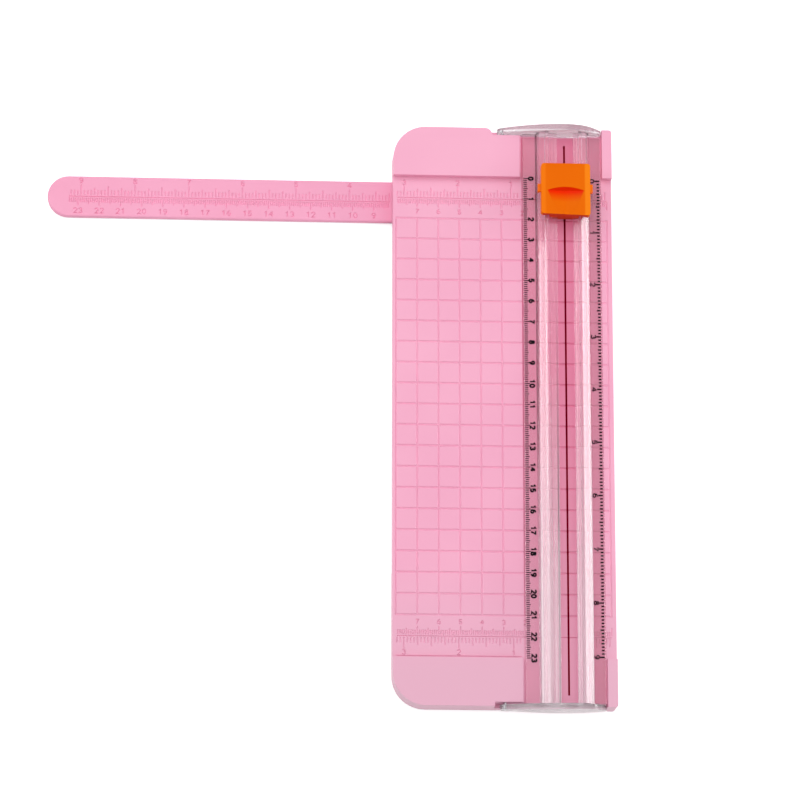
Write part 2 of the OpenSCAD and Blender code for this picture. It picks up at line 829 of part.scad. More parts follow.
module press_spring(s) {
    rings = len(spring_path);
    points = [for (i = [0 : rings - 1]) each spring_ring(i)];
    first = [for (k = [0 : wire_sides - 1]) k];
    last = [for (k = [wire_sides - 1 : -1 : 0]) (rings - 1) * wire_sides + k];
    tube = [for (i = [0 : rings - 2])
        for (k = [0 : wire_sides - 1])
            let (a = i * wire_sides + k,
                b = i * wire_sides + (k + 1) % wire_sides)
            each [[a, a + wire_sides, b + wire_sides], [a, b + wire_sides, b]]];
    color(steel)
        translate([0, park_y + s * spring_y, bed_z])
            polyhedron(points, concat([first, last], tube));
}

base_shell();
foot(0);  // foot_rear_left
foot(1);  // foot_rear_right
foot(2);  // foot_front_left
foot(3);  // foot_front_right
foot(4);  // foot_middle
ruler_arm();
arm_pivot_screw();
arm_washer();
rail_strip_left();
rail_strip_right();
rail_end(1);  // rail_end_rear
rail_end(-1);  // rail_end_front
hinge_pin(1);  // hinge_pin_rear
hinge_pin(-1);  // hinge_pin_front
cutter_carriage();
carriage_shoe();
shoe_screws();
cutter_cap();
blade_holder();
blade();
blade_rivets();
press_spring(-1);  // press_spring_front
press_spring(1);  // press_spring_rear
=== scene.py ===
import json
import math

import bmesh
import bpy
from mathutils import Matrix, Vector


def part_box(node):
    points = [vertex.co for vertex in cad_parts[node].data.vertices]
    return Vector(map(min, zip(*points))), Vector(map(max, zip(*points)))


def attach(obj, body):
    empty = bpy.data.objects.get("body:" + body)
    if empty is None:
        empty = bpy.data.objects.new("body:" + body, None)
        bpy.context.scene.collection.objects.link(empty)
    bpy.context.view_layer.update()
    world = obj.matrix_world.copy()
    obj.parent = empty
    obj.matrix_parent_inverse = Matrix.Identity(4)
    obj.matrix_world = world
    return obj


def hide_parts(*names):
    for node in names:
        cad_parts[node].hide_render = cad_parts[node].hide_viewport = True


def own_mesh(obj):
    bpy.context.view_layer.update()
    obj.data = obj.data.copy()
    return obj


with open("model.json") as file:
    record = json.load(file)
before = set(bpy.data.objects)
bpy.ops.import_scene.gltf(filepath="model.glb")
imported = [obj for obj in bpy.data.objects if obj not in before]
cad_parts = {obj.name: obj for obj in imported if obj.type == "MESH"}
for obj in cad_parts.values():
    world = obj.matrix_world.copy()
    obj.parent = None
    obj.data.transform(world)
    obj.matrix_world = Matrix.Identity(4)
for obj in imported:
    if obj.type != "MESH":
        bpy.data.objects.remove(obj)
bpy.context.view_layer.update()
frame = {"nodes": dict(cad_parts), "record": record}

# Driving dimensions, in metres. X = 0 is the cut line and Y = 0 the middle of the bed.
MM = 0.001
INCH = 25.4 * MM
BED_Z = 11.5 * MM
BLOCK_WALL_Y = 115.25 * MM
SCALE_START_Y = 115 * MM
GRID_HALF = 95 * MM
GRID_PITCH = 10 * MM
SLOT_HALF_LEN = 132 * MM
STRIP_AXIS_Y = 105 * MM
ARM_TOP_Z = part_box("ruler_arm")[1].z
ENGRAVE_DEPTH = 0.4 * MM
ARM_ENGRAVE_DEPTH = 0.35 * MM
GRID_DEEPER = 0.12 * MM
ENGRAVE_FLOOR = 0.04 * MM
GRID_LINE = 1.05 * MM
TICK_LINE = 0.8 * MM
DIGIT_LINE = 0.62 * MM
PRINT_LIFT = 0.03 * MM
PRINT_SINK = 0.02 * MM
PEN = 0.39 * MM
RIGHT_PEN = 0.28 * MM
FLANGE_T = 1.2 * MM
LEFT_TICKS_X = -19.6 * MM
LEFT_DIGITS_X = -16.1 * MM
LEFT_DIGIT_H = 2.4 * MM
RIGHT_TICKS_X = 16.5 * MM
RIGHT_DIGITS_X = 12.95 * MM
RIGHT_DIGIT_H = 2.3 * MM
INCH_START_Y = 114.3 * MM
MM_TICK = 0.43 * MM
INCH_TICK = 0.72 * MM
# Tick lengths in millimetres, each for every so many ticks, longest first
CUT_MM_TICKS = ((10, 4.6), (5, 3.7), (1, 2.9))
CUT_INCH_TICKS = ((16, 5.8), (8, 5), (4, 4.3), (1, 3.2))
PRINT_MM_TICKS = ((10, 2.3), (5, 2.0), (1, 1.6))
PRINT_INCH_TICKS = ((16, 2.2), (8, 1.8), (4, 1.5), (1, 1.3))
INCH_PARTS = 16
PRINTED_CM = 23
PRINTED_INCHES = 9
RIGHT_DIGIT_WIDE = 1.6
# Where the bed's scales run, left and right of the cut line
SCALE_LEFT = 79.5 * MM
TRACK_LEFT = 21 * MM
SCALE_RIGHT = 20 * MM
RIGHT_START = 12 * MM
AXIS_LINE = 0.5 * MM
INCH_CUT = 0.9 * MM
TICK_START = 0.6
# Roundings
RIM_ROUND = 0.8 * MM
FOOT_ROUND = 0.4 * MM
BLOCK_ROUND = 0.4 * MM
ARM_ROUND = 0.9 * MM
CAP_ROUND = 1.25 * MM
PLATE_ROUND = 0.45 * MM
MERGE_GAP = 0.003 * MM
THIN_GAP = 0.002 * MM


def linear(r, g, b):
    """A colour given as 0 to 255 screen values, as the shader's linear values."""
    def one(v):
        v /= 255
        return v / 12.92 if v <= 0.04045 else ((v + 0.055) / 1.055) ** 2.4
    return one(r), one(g), one(b), 1.0


class Shape:
    """Corners and faces of one mesh, gathered bar by bar and stroke by stroke."""

    def __init__(self):
        self.points = []
        self.faces = []

    def add(self, points, faces):
        start = len(self.points)
        self.points += points
        self.faces += [tuple(start + i for i in face) for face in faces]

    def bar(self, x0, x1, y0, y1, low, high, taper=0.0):
        """A box, narrower by the taper on each side at its lower face."""
        x0, x1 = min(x0, x1), max(x0, x1)
        y0, y1 = min(y0, y1), max(y0, y1)
        t = taper
        points = [
            (x0 + t, y0 + t, low), (x1 - t, y0 + t, low), (x1 - t, y1 - t, low), (x0 + t, y1 - t, low),
            (x0, y0, high), (x1, y0, high), (x1, y1, high), (x0, y1, high),
        ]
        self.add(points, [(3, 2, 1, 0), (4, 5, 6, 7), (0, 1, 5, 4), (1, 2, 6, 5), (2, 3, 7, 6), (3, 0, 4, 7)])

    def stroke(self, path, low, high, half_low, half_high):
        """A ribbon of even width along a path of flat points, closed where the path ends where it starts."""
        closed = (Vector(path[0]) - Vector(path[-1])).length < 0.01 * MM
        spots = [Vector(p) for p in (path[:-1] if closed else path)]
        count = len(spots)
        sides = [side_of(spots, i, closed) for i in range(count)]
        points = []
        for spot, side in zip(spots, sides):
            for half, z in ((half_low, low), (half_high, high)):
                points.append((spot.x - side.x * half, spot.y - side.y * half, z))
                points.append((spot.x + side.x * half, spot.y + side.y * half, z))
        faces = []
        for i in range(count if closed else count - 1):
            a = 4 * i
            b = 4 * ((i + 1) % count)
            faces += [(a, b, b + 1, a + 1), (a + 2, a + 3, b + 3, b + 2)]
            faces += [(a, a + 2, b + 2, b), (a + 1, b + 1, b + 3, a + 3)]
        if not closed:
            last = 4 * (count - 1)
            faces += [(0, 1, 3, 2), (last, last + 2, last + 3, last + 1)]
        self.add(points, faces)


def side_of(spots, i, closed):
    """The mitred sideways direction of a path at one of its points."""
    count = len(spots)
    before = spots[i] - spots[i - 1] if closed or i > 0 else spots[1] - spots[0]
    after = spots[(i + 1) % count] - spots[i] if closed or i < count - 1 else spots[-1] - spots[-2]
    before.normalize()
    after.normalize()
    along = (before + after).normalized()
    stretch = min(1.5, 1 / max(0.3, along.dot(after)))
    return Vector((-along.y, along.x)) * stretch


def mesh_object(name, shape):
    mesh = bpy.data.meshes.new(name)
    mesh.from_pydata(shape.points, [], shape.faces)
    obj = bpy.data.objects.new(name, mesh)
    bpy.context.scene.collection.objects.link(obj)
    bm = bmesh.new()
    bm.from_mesh(mesh)
    bmesh.ops.recalc_face_normals(bm, faces=bm.faces)
    bm.to_mesh(mesh)
    bm.free()
    return obj


def dress(obj, body, material, replaced=()):
    """Puts a finished piece on its body, with its finish, and hides the CAD nodes that it stands for."""
    obj.data.materials.clear()
    obj.data.materials.append(material)
    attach(obj, body)
    if replaced:
        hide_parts(*replaced)
    return obj


def shade(obj, angle=32):
    """Smooth shading led by the larger faces, kept sharp at edges over the angle in degrees."""
    obj.data.shade_smooth()
    obj.data.set_sharp_from_angle(angle=math.radians(angle))
    even = obj.modifiers.new("even_normals", "WEIGHTED_NORMAL")
    even.keep_sharp = True
    even.weight = 100


# Numbers, drawn as pen strokes in a box 0.6 wide and 1 high

def arc(cx, cy, rx, ry, start, end, steps):
    turns = [math.radians(start + (end - start) * i / steps) for i in range(steps + 1)]
    return [(cx + rx * math.cos(t), cy + ry * math.sin(t)) for t in turns]


def upside(path):
    return [(0.6 - x, 1 - y) for x, y in path]


SIX = [arc(0.42, 0.42, 0.33, 0.52, 82, 150, 5) + arc(0.32, 0.31, 0.22, 0.25, 170, 488, 13)]
DIGITS = {
    "0": [arc(0.3, 0.5, 0.22, 0.44, 90, 450, 16)],
    "1": [[(0.1, 0.74), (0.24, 0.82), (0.34, 0.95), (0.34, 0.05)]],
    "2": [arc(0.3, 0.69, 0.22, 0.25, 170, -32, 9) + [(0.1, 0.06), (0.54, 0.06)]],
    "3": [arc(0.28, 0.73, 0.2, 0.21, 160, -66, 8) + arc(0.29, 0.29, 0.23, 0.23, 66, -160, 9)],
    "4": [[(0.42, 0.05), (0.42, 0.94)], [(0.34, 0.84), (0.06, 0.34), (0.33, 0.34)],
          [(0.51, 0.34), (0.6, 0.34)]],
    "5": [[(0.5, 0.94), (0.15, 0.94), (0.11, 0.53)] + arc(0.29, 0.32, 0.22, 0.26, 125, -155, 10)],
    "6": SIX,
    "7": [[(0.07, 0.93), (0.54, 0.93), (0.3, 0.45), (0.22, 0.05)]],
    "8": [arc(0.3, 0.76, 0.18, 0.17, -90, 270, 12), arc(0.3, 0.27, 0.22, 0.22, 90, 450, 14)],
    "9": [upside(path) for path in SIX],
}
DIGIT_STEP = 0.7
DIGIT_WIDE = 1.28


def write_number(shape, text, x, y, height, turn, low, high, half_low, half_high, wide=DIGIT_WIDE):
    """A number centred on a point. Turned by 90 degrees it reads along -Y, with its top toward +X."""
    width = DIGIT_STEP * len(text) - (DIGIT_STEP - 0.6)
    for place, letter in enumerate(text):
        for path in DIGITS[letter]:
            spots = []
            for u, v in path:
                along = (u + DIGIT_STEP * place - width / 2) * height * wide
                up = (v - 0.5) * height
                spots.append((x + up, y - along) if turn else (x + along, y + up))
            shape.stroke(spots, low, high, half_low, half_high)


# Materials

def surface(name):
    """A new material, its node tree and its main shader."""
    material = bpy.data.materials.new(name)
    material.use_nodes = True
    tree = material.node_tree
    return material, tree, tree.nodes["Principled BSDF"]


def object_space(tree, stretch=(1, 1, 1)):
    """The object's own coordinates, stretched along its axes."""
    where = tree.nodes.new("ShaderNodeTexCoord")
    mapping = tree.nodes.new("ShaderNodeMapping")
    mapping.inputs["Scale"].default_value = stretch
    tree.links.new(where.outputs["Object"], mapping.inputs["Vector"])
    return mapping.outputs["Vector"]


def noise(tree, vector, scale, detail=3.0, roughness=0.5):
    node = tree.nodes.new("ShaderNodeTexNoise")
    node.inputs["Scale"].default_value = scale
    node.inputs["Detail"].default_value = detail
    node.inputs["Roughness"].default_value = roughness
    tree.links.new(vector, node.inputs["Vector"])
    return node.outputs["Fac"]


def ramp(tree, value, low, high, start=0.35, end=0.65):
    """A value spread over two colours or two grey levels."""
    node = tree.nodes.new("ShaderNodeValToRGB")
    node.color_ramp.elements[0].position = start
    node.color_ramp.elements[1].position = end
    node.color_ramp.elements[0].color = low if isinstance(low, tuple) else (low, low, low, 1)
    node.color_ramp.elements[1].color = high if isinstance(high, tuple) else (high, high, high, 1)
    tree.links.new(value, node.inputs["Fac"])
    return node.outputs["Color"]


def bump(tree, height, distance, strength, normal=None):
    node = tree.nodes.new("ShaderNodeBump")
    node.inputs["Distance"].default_value = distance
    node.inputs["Strength"].default_value = strength
    tree.links.new(height, node.inputs["Height"])
    if normal:
        tree.links.new(normal, node.inputs["Normal"])
    return node.outputs["Normal"]


def moulded_plastic(name, dark, light, rough, grain, gloss=0.5):
    """Injection-moulded plastic: cloudy colour, a fine spark-eroded grain and long faint rub marks."""
    material, tree, main = surface(name)
    here = object_space(tree)
    cloud = noise(tree, here, 22, 2)
    tree.links.new(ramp(tree, cloud, linear(*dark), linear(*light), 0.3, 0.7), main.inputs["Base Color"])
    fine = noise(tree, here, 2600, 2, 0.6)
    tree.links.new(ramp(tree, fine, rough - 0.05, rough + 0.07), main.inputs["Roughness"])
    rubbed = noise(tree, object_space(tree, (900, 60, 900)), 1, 2)
    first = bump(tree, fine, 0.05 * MM, grain)
    tree.links.new(bump(tree, rubbed, 0.02 * MM, 0.25, first), main.inputs["Normal"])
    main.inputs["IOR"].default_value = 1.5
    main.inputs["Specular IOR Level"].default_value = gloss
    return material


def redden_crevices(material, red, reach):
    """Painted shade: the colour turns a deeper red where little light gets in, in hollows and under edges,
    for the shade and the light bounced between orange walls.
    """
    tree = material.node_tree
    main = tree.nodes["Principled BSDF"]
    flat = main.inputs["Base Color"].links[0].from_socket
    open_share = tree.nodes.new("ShaderNodeAmbientOcclusion")
    open_share.samples = 12
    open_share.inputs["Distance"].default_value = reach
    level = tree.nodes.new("ShaderNodeMapRange")
    level.inputs["From Min"].default_value = 0.55
    level.inputs["From Max"].default_value = 0.97
    tree.links.new(open_share.outputs["AO"], level.inputs["Value"])
    mix = tree.nodes.new("ShaderNodeMix")
    mix.data_type = "RGBA"
    tree.links.new(level.outputs["Result"], mix.inputs["Factor"])
    mix.inputs["A"].default_value = linear(*red)
    tree.links.new(flat, mix.inputs["B"])
    tree.links.new(mix.outputs["Result"], main.inputs["Base Color"])


def along(tree, axis, start, end):
    """A value that goes from 0 to 1 between two places along an axis of the object."""
    where = tree.nodes.new("ShaderNodeTexCoord")
    apart = tree.nodes.new("ShaderNodeSeparateXYZ")
    tree.links.new(where.outputs["Object"], apart.inputs["Vector"])
    level = tree.nodes.new("ShaderNodeMapRange")
    level.inputs["From Min"].default_value = start
    level.inputs["From Max"].default_value = end
    tree.links.new(apart.outputs[axis], level.inputs["Value"])
    return level.outputs["Result"]


def times(tree, first, second):
    node = tree.nodes.new("ShaderNodeMath")
    node.operation = "MULTIPLY"
    for i, value in enumerate((first, second)):
        if isinstance(value, float):
            node.inputs[i].default_value = value
        else:
            tree.links.new(value, node.inputs[i])
    return node.outputs[0]


def recolour(material, share, colour):
    """Lays another colour over a plastic, by a share from 0 to 1."""
    tree = material.node_tree
    main = tree.nodes["Principled BSDF"]
    before = main.inputs["Base Color"].links[0].from_socket
    mix = tree.nodes.new("ShaderNodeMix")
    mix.data_type = "RGBA"
    tree.links.new(share, mix.inputs["Factor"])
    tree.links.new(before, mix.inputs["A"])
    mix.inputs["B"].default_value = linear(*colour)
    tree.links.new(mix.outputs["Result"], main.inputs["Base Color"])


def clear_plastic(name, tint, shadow_tint, rough, streaks, clear_share):
    """Clear acrylic with drawn lines along its length. Light that only passes through isn't bent."""
    material, tree, main = surface(name)
    lines = noise(tree, object_space(tree, (1500, 0.05, 1500)), 1, 3, 0.6)
    tree.links.new(ramp(tree, lines, rough, rough * 3), main.inputs["Roughness"])
    tree.links.new(bump(tree, lines, 0.03 * MM, streaks), main.inputs["Normal"])
    main.inputs["Base Color"].default_value = linear(*tint)
    main.inputs["Transmission Weight"].default_value = clear_share
    main.inputs["IOR"].default_value = 1.49
    through = tree.nodes.new("ShaderNodeBsdfTransparent")
    through.inputs["Color"].default_value = linear(*shadow_tint)
    path = tree.nodes.new("ShaderNodeLightPath")
    either = tree.nodes.new("ShaderNodeMath")
    either.operation = "MAXIMUM"
    tree.links.new(path.outputs["Is Shadow Ray"], either.inputs[0])
    tree.links.new(path.outputs["Is Diffuse Ray"], either.inputs[1])
    mix = tree.nodes.new("ShaderNodeMixShader")
    tree.links.new(either.outputs[0], mix.inputs["Fac"])
    tree.links.new(main.outputs["BSDF"], mix.inputs[1])
    tree.links.new(through.outputs["BSDF"], mix.inputs[2])
    tree.links.new(mix.outputs["Shader"], tree.nodes["Material Output"].inputs["Surface"])
    return material


def brushed_metal(name, dark, light, rough, stretch):
    """Metal with fine lines along one axis."""
    material, tree, main = surface(name)
    lines = noise(tree, object_space(tree, stretch), 1, 3, 0.6)
    tree.links.new(ramp(tree, lines, linear(*dark), linear(*light)), main.inputs["Base Color"])
    tree.links.new(ramp(tree, lines, rough - 0.08, rough + 0.1), main.inputs["Roughness"])
    tree.links.new(bump(tree, lines, 0.01 * MM, 0.4), main.inputs["Normal"])
    main.inputs["Metallic"].default_value = 1.0
    return material


def soft_rubber(name, dark, light):
    """Matt rubber with a dusty, pitted skin."""
    material, tree, main = surface(name)
    here = object_space(tree)
    pits = noise(tree, here, 1500, 4, 0.7)
    dust = noise(tree, here, 160, 3)
    tree.links.new(ramp(tree, dust, linear(*dark), linear(*light)), main.inputs["Base Color"])
    tree.links.new(ramp(tree, pits, 0.7, 0.95), main.inputs["Roughness"])
    tree.links.new(bump(tree, pits, 0.08 * MM, 0.5), main.inputs["Normal"])
    return material


def printing_ink(name):
    """Black pad-printed ink, a little uneven."""
    material, tree, main = surface(name)
    here = object_space(tree)
    patches = noise(tree, here, 900, 3)
    tree.links.new(ramp(tree, patches, linear(2, 0, 4), linear(12, 4, 14)), main.inputs["Base Color"])
    tree.links.new(ramp(tree, patches, 0.45, 0.65), main.inputs["Roughness"])
    main.inputs["Specular IOR Level"].default_value = 0.08
    tree.links.new(bump(tree, patches, 0.01 * MM, 0.3), main.inputs["Normal"])
    return material


def make_milky(material, amount):
    """Lays a whitish, scattering skin over a clear plastic, by an amount from 0 to 1."""
    tree = material.node_tree
    milk = tree.nodes.new("ShaderNodeBsdfDiffuse")
    milk.inputs["Color"].default_value = linear(244, 238, 241)
    output = tree.nodes["Material Output"]
    clear = output.inputs["Surface"].links[0].from_socket
    mix = tree.nodes.new("ShaderNodeMixShader")
    tree.links.new(amount, mix.inputs["Fac"])
    tree.links.new(clear, mix.inputs[1])
    tree.links.new(milk.outputs["BSDF"], mix.inputs[2])
    tree.links.new(mix.outputs["Shader"], output.inputs["Surface"])


def frost_plates(material):
    """The end plates' upper part is a little milky, unevenly."""
    tree = material.node_tree
    cloud = ramp(tree, noise(tree, object_space(tree, (90, 400, 200)), 1, 3), 0.55, 1.0)
    upper = times(tree, along(tree, "Z", BED_Z + 1.5 * MM, BED_Z + 5 * MM), 0.14)
    make_milky(material, times(tree, upper, cloud))


def scuff(material, share):
    """Painted sheen: a milky whitish haze in fine lines over the humps and the gap between them, stronger
    toward the front, with painted highlight lines along the humps' outer shoulders.
    """
    tree = material.node_tree
    lines = ramp(tree, noise(tree, object_space(tree, (1500, 0.05, 1500)), 1, 3, 0.6), 0.45, 1.0, 0.35, 0.65)
    reach = times(tree, along(tree, "Y", 25 * MM, -85 * MM), lines)
    inside = times(tree, along(tree, "X", -14 * MM, -13.2 * MM), along(tree, "X", 11.6 * MM, 11.1 * MM))
    amount = times(tree, times(tree, reach, inside), share)
    # Painted highlights along the humps' outer shoulders, stronger toward the front.
    for x0, x1 in ((-13.1 * MM, -12.1 * MM), (10.5 * MM, 11.3 * MM)):
        crest_highlight = times(tree, along(tree, "X", x0, x0 + 0.3 * MM), along(tree, "X", x1, x1 - 0.3 * MM))
        line = times(tree, times(tree, crest_highlight, 0.7), along(tree, "Y", 0.0, -90 * MM))
        top = tree.nodes.new("ShaderNodeMath")
        top.operation = "MAXIMUM"
        tree.links.new(amount, top.inputs[0])
        tree.links.new(line, top.inputs[1])
        amount = top.outputs[0]
    make_milky(material, amount)


def crease(material, axis, x, half, share, colour, start, end):
    """A painted line of shade where an inner corner of a clear piece shows, at one place along an axis."""
    tree = material.node_tree
    main = tree.nodes["Principled BSDF"]
    edge = 0.15 * MM
    below, above = x - half, x + half
    across = times(tree, along(tree, axis, below - edge, below), along(tree, axis, above + edge, above))
    length = times(tree, along(tree, "Y" if axis == "X" else "X", start, end), share)
    mix = tree.nodes.new("ShaderNodeMix")
    mix.data_type = "RGBA"
    tree.links.new(times(tree, across, length), mix.inputs["Factor"])
    before = main.inputs["Base Color"]
    if before.links:
        tree.links.new(before.links[0].from_socket, mix.inputs["A"])
    else:
        mix.inputs["A"].default_value = before.default_value
    mix.inputs["B"].default_value = linear(*colour)
    tree.links.new(mix.outputs["Result"], before)


def paint_cap(material):
    """Painted light and shade on the cap: a painted shade in red where its finger scoop is deep, and a
    painted highlight in a lighter band along both rounded sides.
    """
    tree = material.node_tree
    low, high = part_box("cutter_cap")
    left = low.x + 1.4 * MM
    right = high.x - 1.4 * MM
    # Painted highlights: lighter bands along the cap's rounded left and right sides.
    recolour(material, along(tree, "X", left + 2.4 * MM, left + 1.7 * MM), (250, 124, 14))
    recolour(material, along(tree, "X", right - 2.9 * MM, right - 2.2 * MM), (255, 136, 20))
    # Painted shade: red in the deep part of the finger scoop, in front of its lip.
    deep = along(tree, "Z", high.z - 0.04 * MM, high.z - 0.3 * MM)
    lip_y = (low.y + high.y) / 2 + 1.2 * MM
    middle = times(tree, along(tree, "X", left + 0.9 * MM, left + 1.9 * MM), along(
        tree, "X", right - 0.9 * MM, right - 1.9 * MM))
    scoop = times(tree, middle, along(tree, "Y", lip_y - 7 * MM, lip_y - 2.2 * MM))
    behind = along(tree, "Y", lip_y + 1 * MM, lip_y + 0.4 * MM)
    recolour(material, times(tree, times(tree, scoop, behind), deep), (240, 44, 0))


def paint_base(material):
    """Painted light and shade on the base: a painted shade of deeper pink under the clear rail, deeper still
    under the right flange, and a painted sheen that makes the front end paler and greyer.
    """
    tree = material.node_tree
    # Painted sheen: the whole base turns paler and greyer toward the front end.
    recolour(material, times(tree, along(tree, "Y", -70 * MM, -122 * MM), 0.85), (231, 176, 198))
    # Painted shade: a deeper pink on the surfaces under the clear rail.
    under_rail_shade = times(tree, along(tree, "X", -20.7 * MM, -20.4 * MM), along(tree, "X", 17.5 * MM, 17.2 * MM))
    under_rail_shade = times(tree, under_rail_shade, along(tree, "Z", BED_Z - 1.6 * MM, BED_Z - 1.2 * MM))
    recolour(material, times(tree, under_rail_shade, 0.95), (221, 122, 155))
    # Painted sheen: under the rail too, paler toward the front.
    front = times(tree, under_rail_shade, along(tree, "Y", 20 * MM, -110 * MM))
    recolour(material, times(tree, front, 0.9), (230, 160, 186))
    # Painted shade: deeper still under the right flange.
    right = times(tree, under_rail_shade, along(tree, "X", 11 * MM, 11.6 * MM))
    recolour(material, times(tree, right, 0.92), (206, 114, 146))


PINK = moulded_plastic("pink_moulded", (245, 169, 199), (250, 177, 205), 0.42, 0.12)
# The base's pink gets painted shade under the rail and a painted sheen toward the front.
paint_base(PINK)
ARM_PINK = moulded_plastic("pink_moulded_arm", (245, 161, 193), (248, 168, 200), 0.42, 0.12)
ORANGE = moulded_plastic("orange_moulded", (204, 66, 26), (216, 76, 32), 0.4, 0.1, 0.04)
RED = moulded_plastic("red_moulded", (196, 34, 26), (210, 44, 32), 0.36, 0.1, 0.2)
CAP_ORANGE = moulded_plastic("orange_cap", (240, 107, 0), (246, 115, 0), 0.4, 0.1, 0.04)
# Painted shade: the cap's orange turns red in its hollows and under its edges.
redden_crevices(CAP_ORANGE, (238, 34, 0), 7 * MM)
# Painted light and shade on the cap: lighter side bands and a red scoop.
paint_cap(CAP_ORANGE)
# Painted shade: a deeper orange for the cap's front wall, which faces away from the key lamp.
SHADED_ORANGE = moulded_plastic("orange_shaded", (214, 62, 20), (222, 70, 26), 0.45, 0.1, 0.04)
EAR_ORANGE = moulded_plastic("orange_ears", (244, 124, 30), (250, 132, 36), 0.4, 0.1, 0.04)
CLEAR = clear_plastic("clear_strip", (246, 230, 237), (255, 244, 249), 0.03, 0.2, 0.94)
# Painted shade: dark lines along the clear strips where their walls and inner corners show.
crease(CLEAR, "X", -13.7 * MM, 0.25 * MM, 0.8, (120, 84, 100), -80 * MM, 0.0)
crease(CLEAR, "X", 11.5 * MM, 0.2 * MM, 0.6, (140, 100, 116), -60 * MM, 0.0)
crease(CLEAR, "X", -4.5 * MM, 0.3 * MM, 0.85, (96, 64, 80), 60 * MM, -60 * MM)
crease(CLEAR, "X", 6.4 * MM, 0.25 * MM, 0.5, (130, 96, 110), 60 * MM, -60 * MM)
crease(CLEAR, "X", -7.7 * MM, 0.25 * MM, 0.4, (120, 84, 100), 60 * MM, -60 * MM)
# Painted sheen and highlights on the clear strips, stronger toward the front.
scuff(CLEAR, 0.35)
CLEAR_END = clear_plastic("clear_end", (224, 220, 223), (234, 222, 228), 0.05, 0.35, 0.82)
CLEAR_END.node_tree.nodes["Principled BSDF"].inputs["IOR"].default_value = 1.45
# Painted shade: a dark line along each end plate's inner face, on its left part.
crease(CLEAR_END, "Y", -137.1 * MM, 0.3 * MM, 0.75, (84, 60, 70), -34 * MM, -20 * MM)
crease(CLEAR_END, "Y", 137.1 * MM, 0.3 * MM, 0.3, (110, 84, 96), -34 * MM, -20 * MM)
frost_plates(CLEAR_END)
RUBBER = soft_rubber("foot_rubber", (58, 54, 56), (76, 72, 74))
SCREW_STEEL = brushed_metal("screw_steel", (150, 152, 156), (196, 198, 202), 0.32, (900, 900, 60))
PIN_STEEL = brushed_metal("pin_steel", (160, 162, 165), (204, 206, 208), 0.28, (900, 40, 900))
# Painted shade: the slot's lining in the dark maroon of a deep, shaded groove.
SLOT_SHADE_MAROON = moulded_plastic("slot_liner_painted_shade", (168, 0, 44), (184, 0, 54), 0.6, 0.2, 0.0)
BLADE_STEEL = brushed_metal("blade_steel", (176, 178, 182), (220, 222, 226), 0.22, (60, 60, 1200))
SPRING_STEEL = brushed_metal("spring_steel", (150, 150, 152), (200, 200, 202), 0.3, (600, 600, 200))
INK = printing_ink("scale_ink")

CAD_FINISH = {
    "pink_plastic": PINK,
    "clear_plastic": CLEAR,
    "orange_plastic": ORANGE,
    "red_plastic": RED,
    "foot_rubber": RUBBER,
    "screw_steel": SCREW_STEEL,
    "pin_steel": PIN_STEEL,
    "blade_steel": BLADE_STEEL,
    "spring_steel": SPRING_STEEL,
}


def finish_cad_nodes():
    """Gives every CAD node the finish of its slot, for those that stay in view."""
    for part in frame["record"]["subparts"]:
        node = frame["nodes"][part["node"]]
        node.data.materials.clear()
        node.data.materials.append(CAD_FINISH[part["material_slot"]])
        node.data.shade_smooth()
        node.data.set_sharp_from_angle(angle=math.radians(30))


def softened(node, name, *roundings):
    """A copy of a CAD node's mesh with its flats merged. A rounding is a width, its steps and its edges."""
    mesh = frame["nodes"][node].data.copy()
    mesh.name = name
    obj = bpy.data.objects.new(name, mesh)
    bpy.context.scene.collection.objects.link(obj)
    own_normals = mesh.attributes.get("custom_normal")
    if own_normals:
        mesh.attributes.remove(own_normals)
    bm = bmesh.new()
    bm.from_mesh(mesh)
    bmesh.ops.remove_doubles(bm, verts=bm.verts, dist=0.002 * MM)
    bmesh.ops.dissolve_limit(bm, angle_limit=math.radians(0.5), verts=bm.verts, edges=bm.edges, delimit=set())
    for width, segments, chosen in roundings:
        bm.normal_update()
        edges = [e for e in bm.edges if len(e.link_faces) == 2 and is_corner(e) and chosen(e)]
        bmesh.ops.bevel(
            bm, geom=edges, offset=width, offset_type="OFFSET", segments=segments, profile=0.5,
            affect="EDGES", clamp_overlap=True)
    bm.to_mesh(mesh)
    bm.free()
    return obj


def is_corner(edge):
    return edge.is_convex and edge.calc_face_angle(0) > math.radians(35)


def same(a, b):
    return abs(a - b) < 0.01 * MM


def ends(edge, axis):
    return edge.verts[0].co[axis], edge.verts[1].co[axis]


def carved(obj, cuts):
    """Cuts the gathered strokes into a closed piece. It is cut as triangles, which are all flat."""
    tool = mesh_object("strokes", cuts)
    bm = bmesh.new()
    bm.from_mesh(obj.data)
    bmesh.ops.triangulate(bm, faces=bm.faces)
    bm.to_mesh(obj.data)
    bm.free()
    modifier = obj.modifiers.new("engraving", "BOOLEAN")
    modifier.operation = "DIFFERENCE"
    modifier.solver = "EXACT"
    modifier.use_self = True
    modifier.object = tool
    bpy.context.view_layer.update()
    result = bpy.data.meshes.new_from_object(obj.evaluated_get(bpy.context.evaluated_depsgraph_get()))
    obj.modifiers.clear()
    obj.data = result
    bpy.data.objects.remove(tool)
    bm = bmesh.new()
    bm.from_mesh(result)
    bmesh.ops.remove_doubles(bm, verts=bm.verts, dist=MERGE_GAP)
    bmesh.ops.dissolve_degenerate(bm, edges=bm.edges, dist=THIN_GAP)
    bmesh.ops.triangulate(bm, faces=[f for f in bm.faces if len(f.verts) > 4])
    bmesh.ops.dissolve_degenerate(bm, edges=bm.edges, dist=THIN_GAP)
    bm.to_mesh(result)
    bm.free()


# Scales cut into the base and the arm, measured from the cut line

